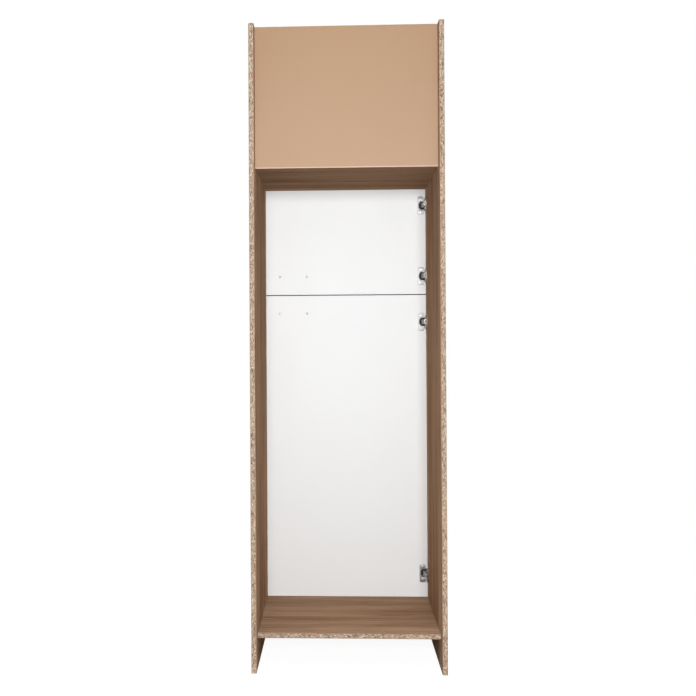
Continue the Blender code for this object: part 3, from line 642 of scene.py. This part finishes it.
def cut_box(mesh, low, high):
    """Cut a box out of a mesh."""
    shape = bmesh.new()
    bmesh.ops.create_cube(shape, size=1.0)
    bmesh.ops.scale(shape, vec=high - low, verts=shape.verts)
    bmesh.ops.translate(shape, vec=(high + low) / 2, verts=shape.verts)
    tool_mesh = bpy.data.meshes.new("slot_tool")
    shape.to_mesh(tool_mesh)
    shape.free()
    tool = add_object("slot_tool", tool_mesh)
    whole = add_object("slot_whole", mesh)
    cut = whole.modifiers.new("slot", "BOOLEAN")
    cut.operation = "DIFFERENCE"
    cut.solver = "EXACT"
    cut.object = tool
    found = whole.evaluated_get(bpy.context.evaluated_depsgraph_get())
    result = bpy.data.meshes.new_from_object(found)
    bpy.data.objects.remove(whole)
    bpy.data.objects.remove(tool)
    return result


def softened(node, name, roll, material, slot=None):
    """A copy of a pressed piece's solid, slotted where asked, with its sharp
    edges rolled over."""
    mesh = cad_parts[node].data.copy()
    if slot:
        mesh = cut_box(mesh, *slot)
    shape = bmesh.new()
    shape.from_mesh(mesh)
    bmesh.ops.remove_doubles(shape, verts=shape.verts, dist=MERGE_DISTANCE)
    bmesh.ops.dissolve_limit(shape, angle_limit=FLAT_ANGLE, verts=shape.verts,
                             edges=shape.edges)
    bmesh.ops.recalc_face_normals(shape, faces=shape.faces)
    shape.to_mesh(mesh)
    shape.free()
    mesh.name = name
    mesh.materials.clear()
    mesh.materials.append(material)
    mesh.shade_smooth()
    mesh.set_sharp_from_angle(angle=SHARP_ANGLE)
    piece = add_object(name, mesh)
    bevel = piece.modifiers.new("rolled_edges", "BEVEL")
    bevel.width = roll
    bevel.segments = 2
    bevel.limit_method = "ANGLE"
    bevel.angle_limit = SHARP_ANGLE
    bevel.harden_normals = True
    return piece


# Surfaces

def full_turn(count):
    """Angles evenly round a circle."""
    return np.linspace(0, 2 * math.pi, count, endpoint=False)


def arc(across, up, radius, start, end, count=4):
    """Pairs on an arc about a middle, from one angle to another, which are both
    given in quarter turns. The middle may be an array."""
    return [(across + radius * math.cos(turn), up + radius * math.sin(turn))
            for turn in np.linspace(start, end, count) * math.pi / 2]


def squarish(angle, power):
    """Cosine and sine of angles, each raised to a power under one with its sign
    kept, which fills a circle out towards its square."""
    round_turn = np.stack([np.cos(angle), np.sin(angle)], -1)
    return np.sign(round_turn) * np.abs(round_turn) ** power


def turned(profile, around):
    """Rings about Z from pairs of radius and height; a radius may be an array
    with its own value for each angle."""
    angle = full_turn(around)
    return np.array([np.stack([radius * np.cos(angle), radius * np.sin(angle),
                               np.full(around, height)], -1)
                     for radius, height in profile])


def carried(section, start, end, count):
    """Rings of a section of pairs, carried along the first axis."""
    rings = np.empty((count, len(section), 3))
    rings[..., 0] = np.linspace(start, end, count)[:, None]
    rings[..., 1:] = section
    return rings


def to_axis(rings, axis, place):
    """Turn rings made about Z to stand along an axis, at a place."""
    turn = np.array(Vector((0, 0, 1)).rotation_difference(Vector(axis)).to_matrix())
    return rings @ turn.T + np.array(place)


def screw_rings(head, height, shank, length, around=48):
    """A screw about Z, its head's seat at zero. The head's top is a low dome:
    0.45 of its height, and 0.55 times the square root of one minus the cube of
    the radius's share. A cross is pressed into it, deep where a point lies near
    either arm."""
    shares = np.concatenate([np.linspace(0.04, 0.62, 12), np.linspace(0.68, 1.0, 9)])
    dome = height * (0.45 + 0.55 * np.sqrt(np.clip(1 - shares ** 3, 0, 1)))
    rings = turned(zip(head * shares, dome), around)
    x, y = rings[..., 0] / head, rings[..., 1] / head
    arm = np.minimum(np.abs(x), np.abs(y))
    reach = np.hypot(x, y)
    press = np.clip((0.15 - arm) / 0.05, 0, 1) * np.clip((0.60 - reach) / 0.12, 0, 1)
    rings[..., 2] -= press * height * 0.8
    low = turned([(head, height * 0.15), (head * 0.97, 0), (shank, 0),
                  (shank, shank - length), (shank * 0.6, -length)], around)
    return np.concatenate([rings, low])


def cup_middle(hinge):
    """Middle of a hinge's cup, at the top of its flange."""
    sizes = bpy.context.scene.housing_sizes
    low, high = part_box("hinge_cup_" + hinge)
    return Vector((low.x + sizes.ring_radius, high.y, (low.z + high.z) / 2))


def plate_reach(angle, near, far, half_height, corner):
    """How far a rectangle with round corners reaches from the cup's middle, for
    each angle: the farthest of many steps outwards that is still inside it."""
    middle, half = (near + far) / 2, (far - near) / 2
    direction = np.stack([np.cos(angle), np.sin(angle)], -1)
    reach = np.linspace(0, half_height * 1.6, 2400)
    point = np.abs(direction[:, None, :] * reach[None, :, None] - (middle, 0))
    past = np.maximum(point - (half - corner, half_height - corner), 0)
    inside = (np.hypot(past[..., 0], past[..., 1]) <= corner) & (point[..., 0] <= half)
    return np.where(inside, reach, 0).max(1)


def cup_rings(half_height, depth, around=180):
    """The pressed cup about Z, open upwards, its flange's top at zero. For each
    angle a profile runs from the floor's middle up the inner wall, under the
    flange to its opening, over the flange to its outline, back under it and
    down the outer wall. The flange reaches as far as the farther of the rim's
    circle and a plate; its opening as far as the nearer of the wall and a plate."""
    sizes = bpy.context.scene.housing_sizes
    angle = full_turn(around)
    inner, outer = sizes.cup_radius - sizes.cup_wall, sizes.cup_radius
    reach = np.maximum(sizes.ring_radius, plate_reach(
        angle, sizes.flange_near, sizes.flange_far, half_height, sizes.flange_corner))
    opening = np.minimum(inner - sizes.opening_lip, plate_reach(
        angle, -2 * outer, sizes.opening_far, sizes.opening_half, sizes.opening_corner))
    floor = -depth + sizes.cup_floor
    roll, sheet, fillet = sizes.edge_roll, sizes.flange_sheet, sizes.cup_fillet
    profile = [(0.3 * inner, floor), (0.7 * inner, floor),
               *arc(inner - fillet, floor + fillet, fillet, -1, 0),
               (inner, -sheet), (opening, -sheet),
               *arc(opening + roll, -roll, roll, 2, 1),
               ((opening + reach) / 2, 0.0),
               *arc(reach - roll, -roll, roll, 1, 0),
               *arc(reach - roll, roll - sheet, roll, 0, -1),
               (outer, -sheet), (outer, -depth + roll), (outer - roll, -depth),
               (0.5 * outer, -depth), (0.2 * outer, -depth)]
    return turned(profile, around)


def wing_rings(start, end, high, low, half_width, around=24):
    """A cast wing along Z, from start to end, with its back at X = 0. Its height
    goes from high to low by the share of the way to the power of 0.85, its width
    closes at the end in a quarter ellipse, and its section is a squarish round."""
    share_along = np.concatenate([np.linspace(0, 0.8, 10), 0.8 + 0.2 * np.sin(
        np.linspace(0.15, 1, 10) * math.pi / 2)])
    along = start + (end - start) * share_along
    height = high + (low - high) * share_along ** 0.85
    past = np.clip((share_along - 0.62) / 0.385, 0, 1)
    width = half_width * np.sqrt(np.clip(1 - past ** 2, 0, 1))
    section = squarish(full_turn(around), power=0.45)
    x = height[:, None] * (0.5 + 0.5 * section[:, 0])
    y = width[:, None] * section[:, 1]
    return np.stack([x, y, np.broadcast_to(along[:, None], x.shape)], -1)


def nose_slot(hinge):
    """Lowest and highest corner of the slot in the nose of a hinge's arm."""
    sizes = bpy.context.scene.housing_sizes
    low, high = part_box("hinge_arm_" + hinge)
    middle = (low.z + high.z) / 2
    half = sizes.slot_width / 2
    return (Vector((high.x - sizes.slot_length, FRONT_EDGE_Y - sizes.slot_past, middle - half)),
            Vector((high.x + sizes.slot_past, FRONT_EDGE_Y + sizes.slot_back, middle + half)))


def band_section(low, high, back, thickness, roll):
    """A rectangle from its low to its high edge, and forward by its thickness,
    with the two front corners round."""
    front = back - thickness
    return [(low, back), *arc(low + roll, front + roll, roll, 2, 3),
            *arc(high - roll, front + roll, roll, 3, 4), (high, back)]


def bow_rings(half, front, bar, bend, around=36):
    """A round bar along a bow: two feet, a quarter bend each, and the grip. The
    section is a circle square to the path, whose direction turns evenly in a bend."""
    reach = front - bend
    foot = np.linspace(0, 1, 6)[:-1] * reach
    left = np.stack([np.full_like(foot, -half), foot, np.full_like(foot, math.pi / 2)], -1)
    turn = np.linspace(0, math.pi / 2, 14)
    corner = np.stack([-half + bend - bend * np.cos(turn), reach + bend * np.sin(turn),
                       math.pi / 2 - turn], -1)
    grip = np.linspace(-1, 1, 18)[1:-1] * (half - bend)
    middle = np.stack([grip, np.full_like(grip, front), np.zeros_like(grip)], -1)
    mirror = (-1, 1, -1)
    path = np.concatenate([left, corner, middle, corner[::-1] * mirror, left[::-1] * mirror])
    angle = full_turn(around)
    side = bar * np.cos(angle)[None, :]
    along, out, heading = (path[:, i:i + 1] for i in range(3))
    return np.stack([along - side * np.sin(heading), -(out + side * np.cos(heading)),
                     np.broadcast_to(bar * np.sin(angle), (len(path), around))], -1)


# Operators, one for each piece or group of like pieces

class HOUSING_OT_boards(bpy.types.Operator):
    """Give the carcass boards their oak print and chipboard edges"""
    bl_idname = "housing.boards"
    bl_label = "Boards"

    def execute(self, context):
        for node in BOARDS:
            dress(node, board_finish(node))
        return {"FINISHED"}


class HOUSING_OT_edge_bands(bpy.types.Operator):
    """Glue thin oak bands on the front edges of all boards but the plinth"""
    bl_idname = "housing.edge_bands"
    bl_label = "Edge bands"

    def execute(self, context):
        sizes = context.scene.housing_sizes
        material = band_finish()
        for node, (through, *_) in BOARDS.items():
            if node == "plinth_panel":
                continue
            low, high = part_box(node)
            upright = through == "X"
            start, end = (low.z, high.z) if upright else (low.x, high.x)
            edges = (low.x, high.x) if upright else (low.z, high.z)
            section = band_section(*edges, low.y, sizes.band, sizes.band_round)
            order = [1, 2, 0] if upright else [0, 2, 1]
            rings = carried(section, start, end, count=24)[..., order]
            settle(closed_surface("edge_band_" + node, rings, material), "carcass",
                   "oak_board")
        return {"FINISHED"}


class HOUSING_OT_back_panel(bpy.types.Operator):
    """Finish the hardboard behind the cupboard"""
    bl_idname = "housing.back_panel"
    bl_label = "Back panel"

    def execute(self, context):
        dress("back_panel", hardboard_finish())
        return {"FINISHED"}


class HOUSING_OT_dowels(bpy.types.Operator):
    """Finish the beech dowels"""
    bl_idname = "housing.dowels"
    bl_label = "Dowels"

    def execute(self, context):
        material = beech_finish()
        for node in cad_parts:
            if node.startswith("dowel_"):
                dress(node, material)
        return {"FINISHED"}


class HOUSING_OT_doors(bpy.types.Operator):
    """Finish the doors in white foil"""
    bl_idname = "housing.doors"
    bl_label = "Doors"

    def execute(self, context):
        for door in DOORS:
            dress("door_" + door, door_finish(door))
        return {"FINISHED"}


class HOUSING_OT_door_buffers(bpy.types.Operator):
    """Stick two soft buffers on each door, where it meets the side's edge"""
    bl_idname = "housing.door_buffers"
    bl_label = "Door buffers"

    def execute(self, context):
        sizes = context.scene.housing_sizes
        material = buffer_finish()
        side_low, side_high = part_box("side_panel_right")
        x = (side_low.x + side_high.x) / 2
        # A dome, out by a sine and down by a cosine, on a short straight foot
        turn = np.linspace(0, math.pi / 2, 9)
        shares = np.concatenate([[0.05, 0.35], 0.55 + 0.45 * np.sin(turn), [1.0]])
        heights = np.concatenate([[1, 1], 0.25 + 0.75 * np.cos(turn), [0]])
        rings = turned(zip(sizes.buffer_radius * shares, sizes.buffer_height * heights),
                       around=40)
        for door in DOORS:
            low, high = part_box("door_" + door)
            for level, z in (("upper", high.z - sizes.buffer_inset),
                             ("lower", low.z + sizes.buffer_inset)):
                made = to_axis(rings, (0, 1, 0), (x, high.y, z))
                settle(closed_surface(f"buffer_{door}_{level}", made, material),
                       "door_" + door, "white_door")
        return {"FINISHED"}


class HOUSING_OT_gap_strip(bpy.types.Operator):
    """Fit a dark strip that fills the gap between the two niche doors, as painted shade for the
    shadow in the gap
    """
    bl_idname = "housing.gap_strip"
    bl_label = "Gap shade strip"

    def execute(self, context):
        sizes = context.scene.housing_sizes
        low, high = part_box("door_freezer")
        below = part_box("door_fridge")[1].z
        half_tall = (low.z - below - sizes.strip_clearance) / 2
        section = squarish(full_turn(20), power=0.6) * (sizes.strip_depth / 2, half_tall)
        section += ((low.y + high.y) / 2, low.z - half_tall)
        rings = carried(section, low.x + sizes.strip_inset, high.x - sizes.strip_inset,
                        count=40)
        # A dark strip in the gap, as painted shade
        settle(closed_surface("gap_shade_strip", rings, gap_shade_finish()), "door_freezer",
               "white_door")
        return {"FINISHED"}


class HOUSING_OT_handles(bpy.types.Operator):
    """Bend the three bow handles"""
    bl_idname = "housing.handles"
    bl_label = "Handles"

    def execute(self, context):
        sizes = context.scene.housing_sizes
        look = context.scene.housing_metals
        material = metal_finish("satin_nickel", look.handle, roughness=0.32, brushed="X")
        for door in DOORS:
            low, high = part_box("handle_" + door)
            half = (high.x - low.x) / 2 - sizes.handle_bar
            rings = bow_rings(half, high.y - low.y - sizes.handle_bar, sizes.handle_bar,
                              sizes.handle_bend)
            place = ((low.x + high.x) / 2, high.y, (low.z + high.z) / 2)
            settle(closed_surface("bow_handle_" + door, rings + place, material),
                   "door_" + door, "handle_nickel", "handle_" + door)
        return {"FINISHED"}


class HOUSING_OT_handle_screws(bpy.types.Operator):
    """Make the handles' screws, whose heads lie on the doors' inner faces"""
    bl_idname = "housing.handle_screws"
    bl_label = "Handle screws"

    def execute(self, context):
        sizes = context.scene.housing_sizes
        look = context.scene.housing_metals
        material = metal_finish("zinc_screw", look.steel, roughness=0.34, brushed="Y")
        for door in DOORS:
            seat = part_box("door_" + door)[1].y
            for side in ("inner", "outer"):
                node = f"handle_screw_{door}_{side}"
                low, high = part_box(node)
                rings = screw_rings((high.x - low.x) / 2, high.y - seat,
                                    sizes.handle_screw_shank, seat - low.y)
                place = ((low.x + high.x) / 2, seat, (low.z + high.z) / 2)
                set_screw(f"screw_handle_{door}_{side}", rings, (0, 1, 0), place, material,
                          "door_" + door, node)
        return {"FINISHED"}


class HOUSING_OT_hinge_cups(bpy.types.Operator):
    """Press the hinges' cups with their flanges"""
    bl_idname = "housing.hinge_cups"
    bl_label = "Hinge cups"

    def execute(self, context):
        material = cup_finish()
        for door, hinge in HINGES:
            low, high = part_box("hinge_cup_" + hinge)
            rings = cup_rings((high.z - low.z) / 2, high.y - low.y)[..., [0, 2, 1]]
            rings = rings + np.array(cup_middle(hinge))
            settle(closed_surface("cup_" + hinge, rings, material), "door_" + door,
                   "nickel_plate", "hinge_cup_" + hinge)
        return {"FINISHED"}


class HOUSING_OT_hinge_arms(bpy.types.Operator):
    """Press the hinges' arms and links and cast their plates, with rolled edges"""
    bl_idname = "housing.hinge_arms"
    bl_label = "Hinge arms, plates and links"

    def execute(self, context):
        sizes = context.scene.housing_sizes
        look = context.scene.housing_metals
        nickel = metal_finish("nickel_arm", look.nickel, roughness=0.50, brushed="Y")
        # The plates' dark tone is partly painted shade
        cast = metal_finish("cast_plate_with_painted_shade", look.plate, roughness=0.38, brushed="Y")
        steel = metal_finish("zinc_link", look.steel, roughness=0.30, brushed="Y")
        for door, hinge in HINGES:
            for kind, body, slot, material in (
                    ("arm", "carcass", "nickel_plate", nickel),
                    ("plate", "carcass", "nickel_plate", cast),
                    ("inner_link", "inner_links_" + door, "bright_steel", steel),
                    ("outer_link", "outer_links_" + door, "bright_steel", steel)):
                node = f"hinge_{kind}_{hinge}"
                cut = nose_slot(hinge) if kind == "arm" else None
                piece = softened(node, f"{kind}_{hinge}", sizes.edge_roll / 2, material, cut)
                settle(piece, body, slot, node)
        return {"FINISHED"}


class HOUSING_OT_plate_wings(bpy.types.Operator):
    """Cast the sloping wings of the mounting plates"""
    bl_idname = "housing.plate_wings"
    bl_label = "Plate wings"

    def execute(self, context):
        sizes = context.scene.housing_sizes
        look = context.scene.housing_metals
        # The wings' dark tone is partly painted shade
        material = metal_finish("cast_wing_with_painted_shade", look.plate, roughness=0.38, brushed="Z")
        back = FRONT_EDGE_Y + sizes.plate_screw_back
        for _, hinge in HINGES:
            low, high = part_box("hinge_plate_" + hinge)
            wing = wing_rings(sizes.wing_start, (high.z - low.z) / 2, sizes.wing_high,
                              sizes.wing_low, sizes.wing_half)
            for level, sign in LEVELS:
                rings = wing * (1, 1, sign) + (low.x, back, (low.z + high.z) / 2)
                settle(closed_surface(f"plate_wing_{hinge}_{level}", rings, material),
                       "carcass", "nickel_plate")
        return {"FINISHED"}


class HOUSING_OT_hinge_screws(bpy.types.Operator):
    """Drive the screws of the hinges' cups, mounting plates and arms"""
    bl_idname = "housing.hinge_screws"
    bl_label = "Hinge screws"

    def execute(self, context):
        sizes = context.scene.housing_sizes
        look = context.scene.housing_metals
        material = metal_finish("zinc_hinge_screw", look.steel, roughness=0.30, brushed="Y")
        cup, plate, arm = (
            screw_rings(head, height, shank, sizes.hinge_screw_depth)
            for head, height, shank in (
                (sizes.cup_screw_radius, sizes.cup_screw_height, sizes.cup_screw_shank),
                (sizes.plate_screw_radius, sizes.plate_screw_height, sizes.plate_screw_shank),
                (sizes.arm_screw_radius, sizes.arm_screw_height, sizes.arm_screw_shank)))
        for door, hinge in HINGES:
            middle = cup_middle(hinge)
            for level, sign in LEVELS:
                place = middle + Vector((sizes.cup_screw_in, 0, sign * sizes.cup_screw_spread))
                set_screw(f"cup_screw_{hinge}_{level}", cup, (0, 1, 0), place, material,
                          "door_" + door)
                place = (INNER_FACE_X + sizes.wing_seat, FRONT_EDGE_Y + sizes.plate_screw_back,
                         middle.z + sign * sizes.plate_screw_spread)
                set_screw(f"plate_screw_{hinge}_{level}", plate, (1, 0, 0), place, material,
                          "carcass")
            for end, back in (("front", sizes.arm_screw_front), ("rear", sizes.arm_screw_rear)):
                place = (INNER_FACE_X + sizes.arm_seat, FRONT_EDGE_Y + back, middle.z)
                set_screw(f"arm_screw_{hinge}_{end}", arm, (1, 0, 0), place, material,
                          "carcass")
        return {"FINISHED"}


# Stage

def area_lamp(name, place, target, size, power, tint):
    """A lamp with a rectangle's face, turned to its target."""
    lamp = bpy.data.lights.new(name, "AREA")
    lamp.color = tint
    lamp.shape = "RECTANGLE"
    lamp.size, lamp.size_y = size
    lamp.energy = power
    made = add_object(name, lamp)
    made.location = place
    aim = Vector(target) - Vector(place)
    made.rotation_euler = aim.to_track_quat("-Z", "Y").to_euler()


def photo_camera(setup):
    """The photograph's camera. It looks towards -Y, turned by its yaw, tilted by
    its pitch and rolled, and its shift puts the optical axis on its own pixel."""
    ahead = Vector((-math.sin(setup.yaw) * math.cos(setup.pitch),
                    -math.cos(setup.yaw) * math.cos(setup.pitch), math.sin(setup.pitch)))
    right = Vector((-math.cos(setup.yaw), math.sin(setup.yaw), 0))
    up = right.cross(ahead)
    across = right * math.cos(setup.roll) + up * math.sin(setup.roll)
    upright = up * math.cos(setup.roll) - right * math.sin(setup.roll)
    lens = bpy.data.cameras.new("photo_camera")
    lens.sensor_width = SENSOR
    lens.lens = setup.focal_length / PHOTO_SIZE * SENSOR
    lens.shift_x = 0.5 - setup.centre_x / PHOTO_SIZE
    lens.shift_y = setup.centre_y / PHOTO_SIZE - 0.5
    camera = add_object("photo_camera", lens)
    turn = Matrix((across, upright, -ahead)).transposed().to_4x4()
    place = (setup.camera_x, REAR_EDGE_Y + setup.camera_back, setup.camera_z)
    camera.matrix_world = Matrix.Translation(place) @ turn
    bpy.context.scene.camera = camera


def seen_directly(nodes):
    """One for rays of the camera, mirror reflections and clear material."""
    path = nodes.node("LightPath")
    seen = nodes.math("MAXIMUM", path.outputs["Is Camera Ray"], path.outputs["Is Glossy Ray"])
    return nodes.math("MAXIMUM", seen, path.outputs["Is Transmission Ray"])


def white_floor(setup):
    """A wide pale floor: plain diffuse for the unit, and lifted towards white
    where it is seen, so that the unit's shadow stays."""
    mesh = bpy.data.meshes.new("floor")
    corners = [(x * setup.floor_reach, y * setup.floor_reach, -setup.floor_drop)
               for x, y in ((-1, -1), (1, -1), (1, 1), (-1, 1))]
    mesh.from_pydata(corners, [], [(0, 1, 2, 3)])
    finish = Finish("pale_floor")
    seen = seen_directly(finish)
    away = finish.node("VectorMath", {0: finish.place()}, operation="LENGTH").outputs["Value"]
    away = finish.span(away, setup.floor_near, setup.floor_far)
    shown = finish.mix(away, setup.floor_shown, (0.0, 0.0, 0.0))
    glow = finish.span(away, 0.0, 1.0, setup.floor_white, 1.0)
    mesh.materials.append(finish.show(
        Base_Color=finish.mix(seen, setup.floor_colour, shown), Roughness=1.0,
        Specular_IOR_Level=0.0, Emission_Color=WHITE,
        Emission_Strength=finish.math("MULTIPLY", seen, glow)))
    add_object("floor", mesh)


def white_world(setup):
    """A white surround where it is seen, and a soft ambient light otherwise."""
    world = bpy.data.worlds.new("studio")
    bpy.context.scene.world = world
    world.use_nodes = True
    nodes = Nodes(world.node_tree)
    strength = nodes.span(seen_directly(nodes), 0.0, 1.0, setup.ambient, 1.0)
    background = world.node_tree.nodes["Background"]
    nodes.join(WHITE, background.inputs["Color"])
    nodes.join(strength, background.inputs["Strength"])


class HOUSING_OT_stage(bpy.types.Operator):
    """Set up the floor, lamps and the photograph's camera"""
    bl_idname = "housing.stage"
    bl_label = "Studio"

    def execute(self, context):
        setup = context.scene.housing_studio
        context.scene.view_settings.view_transform = "Standard"
        white_floor(setup)
        white_world(setup)
        for name, values in LAMPS.items():
            area_lamp(name, *values)
        photo_camera(setup)
        return {"FINISHED"}


class HOUSING_PT_unit(bpy.types.Panel):
    """The unit's pieces and their values"""
    bl_idname = "HOUSING_PT_unit"
    bl_label = "Fridge housing unit"
    bl_space_type = "VIEW_3D"
    bl_region_type = "UI"
    bl_category = "Housing"

    def draw(self, context):
        for operator in OPERATORS:
            self.layout.operator(operator.bl_idname)
        for name in GROUPS:
            column = self.layout.box().column()
            group = getattr(context.scene, name)
            for key in group.bl_rna.properties.keys():
                if key not in ("rna_type", "name"):
                    column.prop(group, key)


OPERATORS = (HOUSING_OT_boards, HOUSING_OT_edge_bands, HOUSING_OT_back_panel,
             HOUSING_OT_dowels, HOUSING_OT_doors, HOUSING_OT_door_buffers,
             HOUSING_OT_handles, HOUSING_OT_handle_screws, HOUSING_OT_hinge_cups,
             HOUSING_OT_hinge_arms, HOUSING_OT_plate_wings, HOUSING_OT_hinge_screws,
             HOUSING_OT_gap_strip, HOUSING_OT_stage)
GROUPS = {"housing_boards": BoardFinish, "housing_panels": PanelFinish,
          "housing_metals": MetalFinish, "housing_sizes": FittingSizes,
          "housing_studio": StudioSetup}


def register():
    """Register the values, the operators and the panel."""
    for group in GROUPS.values():
        bpy.utils.register_class(group)
    for name, group in GROUPS.items():
        setattr(bpy.types.Scene, name, PointerProperty(type=group))
    for operator in OPERATORS:
        bpy.utils.register_class(operator)
    bpy.utils.register_class(HOUSING_PT_unit)


def unregister():
    """Take the panel, the operators and the values out again."""
    bpy.utils.unregister_class(HOUSING_PT_unit)
    for operator in reversed(OPERATORS):
        bpy.utils.unregister_class(operator)
    for name in GROUPS:
        delattr(bpy.types.Scene, name)
    for group in GROUPS.values():
        bpy.utils.unregister_class(group)


def main():
    """Make the unit piece by piece."""
    register()
    for operator in OPERATORS:
        area, name = operator.bl_idname.split(".")
        getattr(getattr(bpy.ops, area), name)()


if __name__ == "__main__":
    main()
